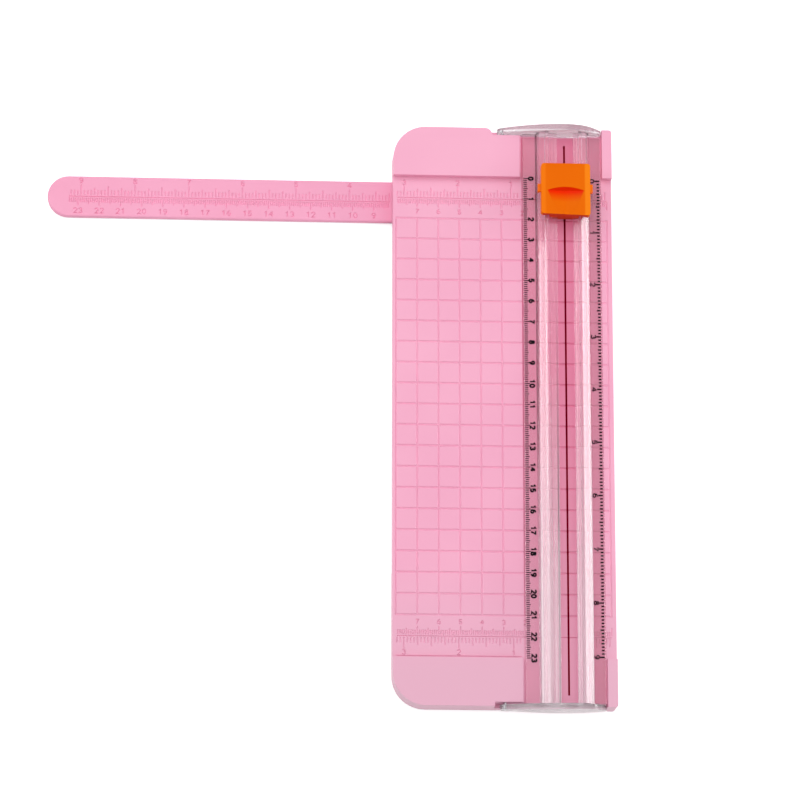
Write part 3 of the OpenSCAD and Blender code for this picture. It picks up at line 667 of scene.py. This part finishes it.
class Engraver:
    """Strokes sunk into a flat face at one height."""

    def __init__(self, top, depth):
        self.shape = Shape()
        self.low = top - depth
        self.high = top + depth

    def tick(self, x, y0, y1, width=TICK_LINE):
        """A V-shaped groove along Y, with the given width at the face."""
        slope = (width - ENGRAVE_FLOOR) / 2
        half = width / 2 + slope
        near, far = min(y0, y1) - slope, max(y0, y1) + slope
        self.shape.bar(x - half, x + half, near, far, self.low, self.high, slope * 2)

    def line(self, x0, x1, y, width=TICK_LINE):
        """A V-shaped groove along X, with the given width at the face."""
        slope = (width - ENGRAVE_FLOOR) / 2
        half = width / 2 + slope
        near, far = min(x0, x1) - slope, max(x0, x1) + slope
        self.shape.bar(near, far, y - half, y + half, self.low, self.high, slope * 2)

    def number(self, text, x, y, height):
        half = ENGRAVE_FLOOR / 2
        write_number(
            self.shape, text, x, y, height, False, self.low, self.high, half, DIGIT_LINE - half)


def tick_length(i, lengths):
    """The length of tick i, from pairs of a step and a length, longest first."""
    return next(length for step, length in lengths if i % step == 0)


def metric_ticks(tool, first, last, axis, away):
    """Millimetre ticks between two distances left of the cut line, with longer ones each 5 and 10."""
    for i in range(math.ceil(first / MM), math.floor(last / MM) + 1):
        length = tick_length(i, CUT_MM_TICKS)
        tool.tick(-i * MM, axis + away * TICK_START * MM, axis + away * length * MM)


def inch_ticks(tool, first, last, axis, away):
    """Sixteenth-inch ticks between two distances left of the cut line."""
    part = INCH / INCH_PARTS
    for i in range(math.ceil(first / part), math.floor(last / part) + 1):
        length = tick_length(i, CUT_INCH_TICKS)
        tool.tick(-i * part, axis + away * TICK_START * MM, axis + away * length * MM, INCH_CUT)


def bed_scale(tool, side):
    """The ruler across one end of the bed: inches on its axis's outer side, millimetres on the inner."""
    axis = side * STRIP_AXIS_Y
    inch_row = side * 112.5 * MM
    cm_row = side * 98.3 * MM
    tool.line(-SCALE_LEFT, SCALE_RIGHT, axis, AXIS_LINE)
    inch_ticks(tool, TRACK_LEFT, SCALE_LEFT, axis, side)
    metric_ticks(tool, TRACK_LEFT, SCALE_LEFT, axis, -side)
    inch_ticks(tool, -SCALE_RIGHT, -RIGHT_START, axis, side)
    metric_ticks(tool, -SCALE_RIGHT, -RIGHT_START, axis, -side)
    for inches in (1, 2, 3):
        tool.number(str(inches), -inches * INCH, inch_row, 2.6 * MM)
    for tens in range(2, 8):
        tool.number(str(tens), -tens * 10 * MM, cm_row, 2.3 * MM)


def open_grid(base):
    """Turns the square grooves of the bed's centimetre grid into V grooves, by moving their corners."""
    for vert in base.data.vertices:
        x, y, z = vert.co
        inside = -81 * MM < x < 21 * MM and abs(y) < GRID_HALF + 1 * MM
        if not inside or z < BED_Z - 1 * MM or z > BED_Z + 0.01 * MM:
            continue
        half = GRID_LINE / 2 if same(z, BED_Z) else ENGRAVE_FLOOR / 2
        column = round(x / GRID_PITCH) * GRID_PITCH
        row = round((y - GRID_HALF) / GRID_PITCH) * GRID_PITCH + GRID_HALF
        if abs(x - column) < 0.3 * MM and column:
            vert.co.x = max(column + math.copysign(half, x - column), -80.4 * MM)
        if abs(y - row) < 0.3 * MM:
            vert.co.y = row + math.copysign(half, y - row)
        if z < BED_Z - 0.1 * MM:
            vert.co.z -= GRID_DEEPER


def arm_scale(tool):
    arm_low, arm_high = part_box("ruler_arm")
    axis = (arm_low.y + arm_high.y) / 2
    first = -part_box("base_shell")[0].x + 1 * MM
    last = 234.5 * MM
    inch_row = axis + 7.8 * MM
    cm_row = axis - 6.93 * MM
    tool.line(-last, -first, axis, AXIS_LINE)
    inch_ticks(tool, first, last, axis, 1)
    metric_ticks(tool, first, last, axis, -1)
    for inches in range(4, 10):
        tool.number(str(inches), -inches * INCH, inch_row, 2.6 * MM)
    for tens in range(9, 24):
        tool.number(str(tens), -tens * 10 * MM, cm_row, 2.7 * MM)


# Base and arm

BASE_LOW, BASE_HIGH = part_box("base_shell")
CORNER_R = 15.4 * MM
SMALL_R = 1.2 * MM


def rim_edge(edge):
    """The outline's upper edges."""
    z0, z1 = ends(edge, 2)
    level = same(z0, z1) and (same(z0, BASE_HIGH.z) or same(z0, BED_Z))
    return level and all(on_outline(v.co.x, v.co.y) for v in edge.verts)


def foot_edge(edge):
    """The outline's lower edge."""
    low = same(ends(edge, 2)[0], BASE_LOW.z) and same(ends(edge, 2)[1], BASE_LOW.z)
    return low and all(on_outline(v.co.x, v.co.y) for v in edge.verts)


def block_edge(edge):
    """The blocks' other upper edges, and the upright edges of their faces over the bed."""
    z0, z1 = ends(edge, 2)
    y0, y1 = ends(edge, 1)
    top = same(z0, BASE_HIGH.z) and same(z1, BASE_HIGH.z)
    on_wall = same(abs(y0), BLOCK_WALL_Y) and same(abs(y1), BLOCK_WALL_Y)
    return top or (on_wall and max(z0, z1) > BED_Z + 1 * MM and same(*ends(edge, 0)))


def on_outline(x, y):
    if same(x, BASE_LOW.x) or same(x, BASE_HIGH.x) or same(y, BASE_HIGH.y) or same(y, BASE_LOW.y):
        return True
    for side_x, side_y, radius in (
            (BASE_LOW.x, BASE_LOW.y, CORNER_R), (BASE_LOW.x, BASE_HIGH.y, CORNER_R),
            (BASE_HIGH.x, BASE_LOW.y, SMALL_R), (BASE_HIGH.x, BASE_HIGH.y, SMALL_R)):
        centre = Vector((side_x - math.copysign(radius, side_x), side_y - math.copysign(radius, side_y)))
        if abs((Vector((x, y)) - centre).length - radius) < 0.03 * MM:
            return True
    return False


def make_base():
    base = softened(
        "base_shell", "base_body", (RIM_ROUND, 4, rim_edge), (FOOT_ROUND, 3, foot_edge),
        (BLOCK_ROUND, 3, block_edge))
    open_grid(base)
    tool = Engraver(BED_Z, ENGRAVE_DEPTH)
    for side in (1, -1):
        bed_scale(tool, side)
    block_foot = -BLOCK_WALL_Y + 1.0 * MM
    tool.line(BASE_LOW.x + 1.5 * MM, -21.5 * MM, block_foot, 0.6 * MM)
    carved(base, tool.shape)
    shade(base)
    dress(base, "base", PINK, ["base_shell"])


def make_slot_liner():
    """The lining of the blade's slot: a thin wall and a fine lip on each side, and a floor. Its dark maroon
    is painted shade, the colour of the deep, narrow slot in shadow.
    """
    top = BED_Z + 0.01 * MM
    bottom = BED_Z - 2.5 * MM
    outside = 0.39 * MM
    inside = 0.29 * MM
    lip = 0.46 * MM
    lip_top = BED_Z + 0.04 * MM
    half = SLOT_HALF_LEN - 0.1 * MM
    shape = Shape()
    outline = [
        (-outside, bottom), (outside, bottom), (outside, top), (lip, top), (lip, lip_top), (inside, lip_top),
        (inside, bottom + 0.1 * MM), (-inside, bottom + 0.1 * MM), (-inside, lip_top), (-lip, lip_top),
        (-lip, top), (-outside, top)]
    count = len(outline)
    for y in (-half, half):
        shape.points += [(x, y, z) for x, z in outline]
    shape.faces += [(i, (i + 1) % count, count + (i + 1) % count, count + i) for i in range(count)]
    shape.faces += [tuple(range(count)), tuple(range(2 * count - 1, count - 1, -1))]
    dress(mesh_object("slot_liner", shape), "base", SLOT_SHADE_MAROON)


def make_arm():
    top = ARM_TOP_Z
    arm = softened("ruler_arm", "arm_body", (ARM_ROUND, 4, lambda e: all(same(v.co.z, top) for v in e.verts)))
    tool = Engraver(top, ARM_ENGRAVE_DEPTH)
    arm_scale(tool)
    carved(arm, tool.shape)
    shade(arm)
    dress(arm, "arm", ARM_PINK, ["ruler_arm"])


# Clear rail

def rounded(corners, steps=5):
    """An outline given as (x, z, radius) corners, with each corner as an arc."""
    outline = []
    count = len(corners)
    for i, (x, z, radius) in enumerate(corners):
        here = Vector((x, z))
        back = Vector(corners[i - 1][:2]) - here
        on = Vector(corners[(i + 1) % count][:2]) - here
        if radius <= 0:
            outline.append((x, z))
            continue
        half = back.angle(on) / 2
        reach = min(radius / math.tan(half), back.length * 0.49, on.length * 0.49)
        turn_radius = reach * math.tan(half)
        middle = here + (back.normalized() + on.normalized()).normalized() * (turn_radius / math.sin(half))
        start = here + back.normalized() * reach - middle
        end = here + on.normalized() * reach - middle
        sweep = start.angle_signed(end)
        for k in range(steps + 1):
            turned = Matrix.Rotation(-sweep * k / steps, 2) @ start
            outline.append(tuple(middle + turned))
    return outline


def ledge_top(inn, gap, ledge, drop, ribs):
    """The ledge's upper face from the hump to the gap: it falls a little to the gap and carries fine ribs."""
    small = 0.05 * MM
    points = []
    for x in ribs:
        here = ledge - drop * (inn - x) / (inn - gap)
        points += [(x + 0.3 * MM, here, small), (x, here + 0.22 * MM, 0.12 * MM), (x - 0.3 * MM, here, small)]
    return points + [(gap, ledge - drop, 0.3 * MM)]


def strip_outline(flange, out, inn, lift, flange_t, t, low, high, ledge, gap, ridge, drop, ribs):
    """Section of the right-hand strip over the bed, all measured from the cut line in metres."""
    slope = (high - low) / (out - inn - ridge)
    under_low = low - t + slope * t / 2
    under_high = high - t - slope * t / 2
    small = 0.3 * MM
    return rounded([
        (flange, lift, 0.15 * MM),
        (flange, lift + flange_t, 0.35 * MM),
        (out, lift + flange_t, small),
        (out, low, 1.3 * MM),
        (inn + ridge, high, 0.8 * MM),
        (inn, high, small),
        (inn, ledge, 0.15 * MM),
        *ledge_top(inn, gap, ledge, drop, ribs),
        (gap, ledge - t, 0.15 * MM),
        (inn + t, ledge - t, 0.15 * MM),
        (inn + t, under_high, small),
        (out - t, under_low, small),
        (out - t, lift, 0.15 * MM),
    ])


def extruded(name, outline, y0, y1, flip):
    """A long piece of one section, given over the bed and on the right, mirrored by flip."""
    shape = Shape()
    count = len(outline)
    rings = [y0, y1]
    for y in rings:
        shape.points += [(flip * x, y, BED_Z + z) for x, z in outline]
    for i in range(count):
        j = (i + 1) % count
        shape.faces.append((i, j, count + j, count + i))
    shape.faces.append(tuple(range(count)))
    shape.faces.append(tuple(range(2 * count - 1, count - 1, -1)))
    return mesh_object(name, shape)


def make_strips():
    t = 1.2 * MM
    common = dict(
        lift=0.3 * MM, flange_t=t, t=t, low=5 * MM, high=8 * MM, ledge=4.4 * MM, gap=3.8 * MM, ridge=0.9 * MM)
    left = dict(flange=20 * MM, out=13.5 * MM, inn=8.1 * MM, drop=0.4 * MM, ribs=(7 * MM, 5.4 * MM))
    right = dict(flange=17.1 * MM, out=11.3 * MM, inn=6 * MM, drop=0.3 * MM, ribs=(4.9 * MM,))
    sides = (("rail_strip_left", -1, left), ("rail_strip_right", 1, right))
    for node, flip, sizes in sides:
        low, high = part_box(node)
        strip = extruded(node + "_drawn", strip_outline(**sizes, **common), low.y, high.y, flip)
        shade(strip, 40)
        dress(strip, "rail", CLEAR, [node])


PLATE_LEFT = 32 * MM
PLATE_RIGHT = 17.3 * MM
PLATE_CROWN = 9.9 * MM
PLATE_CORNER = 1.4 * MM
PLATE_T = 2.2 * MM
PLATE_BOW = 0.8 * MM
CROWN_X = 1.8 * MM
HINGE_X = 29.5 * MM
HINGE_R = 2.5 * MM
HINGE_DROP = 0.5 * MM
# Height at the plate's end and the power of its curve, on each side of the crown
LEFT_ARCH = (2.6 * MM, 1.8)
RIGHT_ARCH = (1.6 * MM, 2.5)
BELLY = 3.2


def plate_column(x):
    """Lower and upper height over the bed of an end plate at one distance from the cut line."""
    share = (CROWN_X - x) / (CROWN_X + PLATE_LEFT) if x < CROWN_X else (x - CROWN_X) / (PLATE_RIGHT - CROWN_X)
    foot, power = LEFT_ARCH if x < CROWN_X else RIGHT_ARCH
    upper = foot + (PLATE_CROWN - foot) * (1 - share ** power)
    corner = PLATE_CORNER - (x + PLATE_LEFT)
    if corner > 0:
        upper -= PLATE_CORNER - math.sqrt(PLATE_CORNER ** 2 - corner ** 2)
    lower = -BELLY * (0.35 + 0.65 * (1 - share * share)) * MM
    reach = x + HINGE_X
    if abs(reach) <= HINGE_R:
        lower = min(lower, -HINGE_DROP - math.sqrt(HINGE_R ** 2 - reach ** 2))
    return lower, upper


def end_plate(name, far, side):
    """A plate with a flat inner face and an outer face that bows out in plan. Its rims are rounded."""
    fine = [-PLATE_LEFT + PLATE_CORNER * (1 - math.cos(math.radians(15 * i))) for i in range(7)]
    fine += [-30 * MM, -29.5 * MM, -28.7 * MM, -28 * MM, -27.4 * MM, -27.05 * MM]
    rest = [-26.4 * MM + (PLATE_RIGHT + 26.4 * MM) * i / 44 for i in range(45)]
    columns = fine + rest
    middle = (PLATE_RIGHT - PLATE_LEFT) / 2
    half = (PLATE_RIGHT + PLATE_LEFT) / 2
    near = far - side * (PLATE_T + PLATE_BOW)
    shape = Shape()
    for x in columns:
        low, high = plate_column(x)
        outer = far - side * PLATE_BOW * ((x - middle) / half) ** 2
        for y in (near, outer):
            shape.points += [(x, y, BED_Z + low), (x, y, BED_Z + high)]
    for i in range(len(columns) - 1):
        a, b = 4 * i, 4 * (i + 1)
        shape.faces += [(a, a + 1, b + 1, b), (a + 2, b + 2, b + 3, a + 3)]
        shape.faces += [(a + 1, a + 3, b + 3, b + 1), (a, b, b + 2, a + 2)]
    last = 4 * (len(columns) - 1)
    shape.faces += [(0, 2, 3, 1), (last, last + 1, last + 3, last + 2)]
    plate = mesh_object(name, shape)
    bm = bmesh.new()
    bm.from_mesh(plate.data)
    bm.normal_update()
    rims = [e for e in bm.edges if len(e.link_faces) == 2 and e.calc_face_angle(0) > math.radians(50)]
    bmesh.ops.bevel(
        bm, geom=rims, offset=PLATE_ROUND, offset_type="OFFSET", segments=4, profile=0.5, affect="EDGES",
        clamp_overlap=True)
    bm.to_mesh(plate.data)
    bm.free()
    return plate


def make_ends():
    """The two clear end plates."""
    for node, side in (("rail_end_rear", 1), ("rail_end_front", -1)):
        low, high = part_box(node)
        far = high.y if side > 0 else low.y
        plate = end_plate(node + "_moulded", far, side)
        shade(plate, 40)
        dress(plate, "rail", CLEAR_END, [node])


# Scales printed on the clear flanges

def print_scales():
    """The left flange's centimetres and the right flange's inches, both from the bed's rear end."""
    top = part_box("rail_strip_left")[0].z + FLANGE_T
    low, high = top - PRINT_SINK, top + PRINT_LIFT
    shape = Shape()
    for i in range(PRINTED_CM * 10 + 1):
        y = SCALE_START_Y - i * MM
        length = tick_length(i, PRINT_MM_TICKS)
        shape.bar(LEFT_TICKS_X, LEFT_TICKS_X + length * MM, y - MM_TICK / 2, y + MM_TICK / 2, low, high)
    for i in range(PRINTED_CM + 1):
        y = SCALE_START_Y - i * 10 * MM
        write_number(shape, str(i), LEFT_DIGITS_X, y, LEFT_DIGIT_H, True, low, high, PEN, PEN)
    for i in range(PRINTED_INCHES * INCH_PARTS + 1):
        y = INCH_START_Y - i * INCH / INCH_PARTS
        length = tick_length(i, PRINT_INCH_TICKS)
        shape.bar(RIGHT_TICKS_X, RIGHT_TICKS_X - length * MM, y - INCH_TICK / 2, y + INCH_TICK / 2, low, high)
    for i in range(PRINTED_INCHES + 1):
        y = INCH_START_Y - i * INCH
        write_number(shape, str(i), RIGHT_DIGITS_X, y, RIGHT_DIGIT_H, True, low, high,
                     RIGHT_PEN, RIGHT_PEN, RIGHT_DIGIT_WIDE)
    scales = mesh_object("printed_scales", shape)
    scales.visible_shadow = False
    dress(scales, "rail", INK)


# Cutter


def make_springs():
    """The two coils under the cap."""
    for node in ("press_spring_front", "press_spring_rear"):
        spring = softened(node, node + "_coil")
        shade(spring)
        dress(spring, "cutter", SPRING_STEEL, (node,))
        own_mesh(spring)


CAP_LOW, CAP_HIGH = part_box("cutter_cap")
SCOOP_LIP = 1.2 * MM
SCOOP_D = 2.1 * MM
LIP_R = 23.6 * MM
LEAN = 1.5 * MM
SLANT = 0.8 * MM
EAR_OUT = 1.35 * MM
EAR_REACH = 1.2 * MM
CAP_MARGIN = 1.45 * MM
SCOOP_SLOPE = 8.5


def cap_edge(edge):
    """Edges round the cap's top, without those of the scoop."""
    z0, z1 = ends(edge, 2)
    x0, x1 = ends(edge, 0)
    y0, y1 = ends(edge, 1)
    if not (same(z0, CAP_HIGH.z) and same(z1, CAP_HIGH.z)):
        return False
    return all(near_cap_side(x, y) for x, y in ((x0, y0), (x1, y1)))


def near_cap_side(x, y):
    beside = x < CAP_LOW.x + EAR_REACH + CAP_MARGIN or x > CAP_HIGH.x - EAR_REACH - CAP_MARGIN
    return beside or y < CAP_LOW.y + CAP_MARGIN or y > CAP_HIGH.y - CAP_MARGIN


def lean_scoop(cap):
    """Leans the scoop's upright lip, by moving its foot forward along the scoop's floor."""
    middle_x = (CAP_LOW.x + CAP_HIGH.x) / 2
    lip_y = (CAP_LOW.y + CAP_HIGH.y) / 2 + SCOOP_LIP
    for vert in cap.data.vertices:
        deep = CAP_HIGH.z - vert.co.z
        from_centre = (Vector((vert.co.x, vert.co.y)) - Vector((middle_x, lip_y - LIP_R))).length
        if abs(from_centre - LIP_R) < 0.05 * MM and 0.05 * MM < deep < SCOOP_D + 0.05 * MM:
            forward = LEAN * deep / SCOOP_D
            vert.co.y -= forward
            vert.co.z += forward * math.tan(math.radians(SCOOP_SLOPE))


def slant_front(cap):
    """The cap's front edge runs a little askew: its left end lies further back."""
    start_y = (CAP_LOW.y + CAP_HIGH.y) / 2 - 4 * MM
    for vert in cap.data.vertices:
        x, y, z = vert.co
        beside = x < CAP_LOW.x + EAR_OUT + 0.6 * MM or x > CAP_HIGH.x - EAR_OUT - 0.6 * MM
        skin = y < CAP_LOW.y + 0.9 * MM or z > CAP_HIGH.z - 1.5 * MM or beside
        if y < start_y and skin:
            share = (start_y - y) / (start_y - CAP_LOW.y)
            vert.co.y += SLANT * share * (CAP_HIGH.x - x) / (CAP_HIGH.x - CAP_LOW.x)


def tint_cap(cap):
    """Painted shade on the cap's front wall, in a deeper orange; the ears in a lighter orange that carries no
    painted crevice shade.
    """
    cap.data.materials.append(SHADED_ORANGE)
    cap.data.materials.append(EAR_ORANGE)
    for face in cap.data.polygons:
        x, y, _ = face.center
        if face.normal.y < -0.9 and y < CAP_LOW.y + SLANT + 0.1 * MM:
            face.material_index = 1
        elif x < CAP_LOW.x + EAR_OUT or x > CAP_HIGH.x - EAR_OUT:
            face.material_index = 2


def make_cap():
    cap = softened("cutter_cap", "cutter_cap_moulded", (CAP_ROUND, 5, cap_edge))
    lean_scoop(cap)
    slant_front(cap)
    shade(cap, 36)
    dress(cap, "blade_unit", CAP_ORANGE, ["cutter_cap"])
    tint_cap(cap)


# Stage: floor, light and camera

WORLD_LEVEL = 0.36
KEY_WATTS = 19.3
FILL_WATTS = 5.5
RIM_LEFT_WATTS = 1.6
RIM_RIGHT_WATTS = 2.6
OVER_WATTS = 1.15


def make_floor():
    shape = Shape()
    size = 2.5
    shape.add([(-size, -size, 0), (size, -size, 0), (size, size, 0), (-size, size, 0)], [(0, 1, 2, 3)])
    floor = mesh_object("floor", shape)
    material, tree, main = surface("floor_white")
    here = object_space(tree)
    main.inputs["Roughness"].default_value = 0.9
    tree.links.new(ramp(tree, noise(tree, here, 6, 2), 0.8, 0.815), main.inputs["Base Color"])
    glow = tree.nodes.new("ShaderNodeEmission")
    level = tree.nodes.new("ShaderNodeMath")
    level.operation = "MULTIPLY"
    level.inputs[1].default_value = 0.65
    tree.links.new(seen_directly(tree), level.inputs[0])
    tree.links.new(level.outputs[0], glow.inputs["Strength"])
    add = tree.nodes.new("ShaderNodeAddShader")
    tree.links.new(main.outputs["BSDF"], add.inputs[0])
    tree.links.new(glow.outputs["Emission"], add.inputs[1])
    tree.links.new(add.outputs["Shader"], tree.nodes["Material Output"].inputs["Surface"])
    floor.data.materials.append(material)


def make_light():
    world = bpy.data.worlds.new("studio")
    bpy.context.scene.world = world
    world.use_nodes = True
    tree = world.node_tree
    back = tree.nodes["Background"]
    back.inputs["Color"].default_value = (1, 1, 1, 1)
    level = tree.nodes.new("ShaderNodeMapRange")
    level.inputs["To Min"].default_value = WORLD_LEVEL
    level.inputs["To Max"].default_value = 1.0
    tree.links.new(seen_directly(tree), level.inputs["Value"])
    tree.links.new(level.outputs["Result"], back.inputs["Strength"])
    lamp("key", (-0.75, 1.1, 1.85), 1.7, 1.7, KEY_WATTS)
    lamp("fill", (0.9, -0.7, 1.1), 1.2, 1.2, FILL_WATTS)
    lamp("rim_left", (-1.0, 0.14, 0.52), 0.5, 0.16, RIM_LEFT_WATTS)
    lamp("rim_right", (1.0, 0.16, 0.29), 0.5, 0.2, RIM_RIGHT_WATTS)
    lamp("over_left", (-0.25, 0.1, 1.5), 0.26, 0.36, OVER_WATTS)
    lamp("over_right", (0.45, 0.1, 1.5), 0.28, 0.36, OVER_WATTS)


def seen_directly(tree):
    """1 for camera, mirror and see-through rays, and 0 for the rays that light the scene."""
    path = tree.nodes.new("ShaderNodeLightPath")
    value = path.outputs["Is Camera Ray"]
    for kind in ("Is Glossy Ray", "Is Transmission Ray"):
        either = tree.nodes.new("ShaderNodeMath")
        either.operation = "MAXIMUM"
        tree.links.new(value, either.inputs[0])
        tree.links.new(path.outputs[kind], either.inputs[1])
        value = either.outputs[0]
    return value


def lamp(name, place, width, height, watts):
    """A soft box aimed at the bed's middle."""
    light = bpy.data.lights.new(name, "AREA")
    light.shape = "RECTANGLE"
    light.size = width
    light.size_y = height
    light.energy = watts
    obj = bpy.data.objects.new(name, light)
    obj.location = place
    obj.rotation_mode = "QUATERNION"
    obj.rotation_quaternion = Vector(place).to_track_quat("Z", "Y")
    bpy.context.scene.collection.objects.link(obj)


def make_camera():
    """The photograph's camera, solved from the bed's grid and the printed scale."""
    data = bpy.data.cameras.new("camera")
    data.sensor_width = 36
    data.lens = 172.47
    data.clip_start = 0.05
    data.clip_end = 20
    camera = bpy.data.objects.new("camera", data)
    right = Vector((0.99797, 0.00079, 0.06360))
    ahead = Vector((0.06168, 0.23232, -0.97068)).normalized()
    right = (right - ahead * right.dot(ahead)).normalized()
    up = right.cross(ahead)
    turn = Matrix((right, up, -ahead)).transposed().to_4x4()
    camera.matrix_world = Matrix.Translation(Vector((-188.42, -409.28, 1748.58)) * MM) @ turn
    bpy.context.scene.collection.objects.link(camera)
    bpy.context.scene.camera = camera


make_camera()
make_light()
make_floor()
finish_cad_nodes()
make_base()
make_slot_liner()
make_arm()
make_strips()
make_ends()
print_scales()
make_cap()
make_springs()

bpy.context.scene.view_settings.view_transform = "Standard"
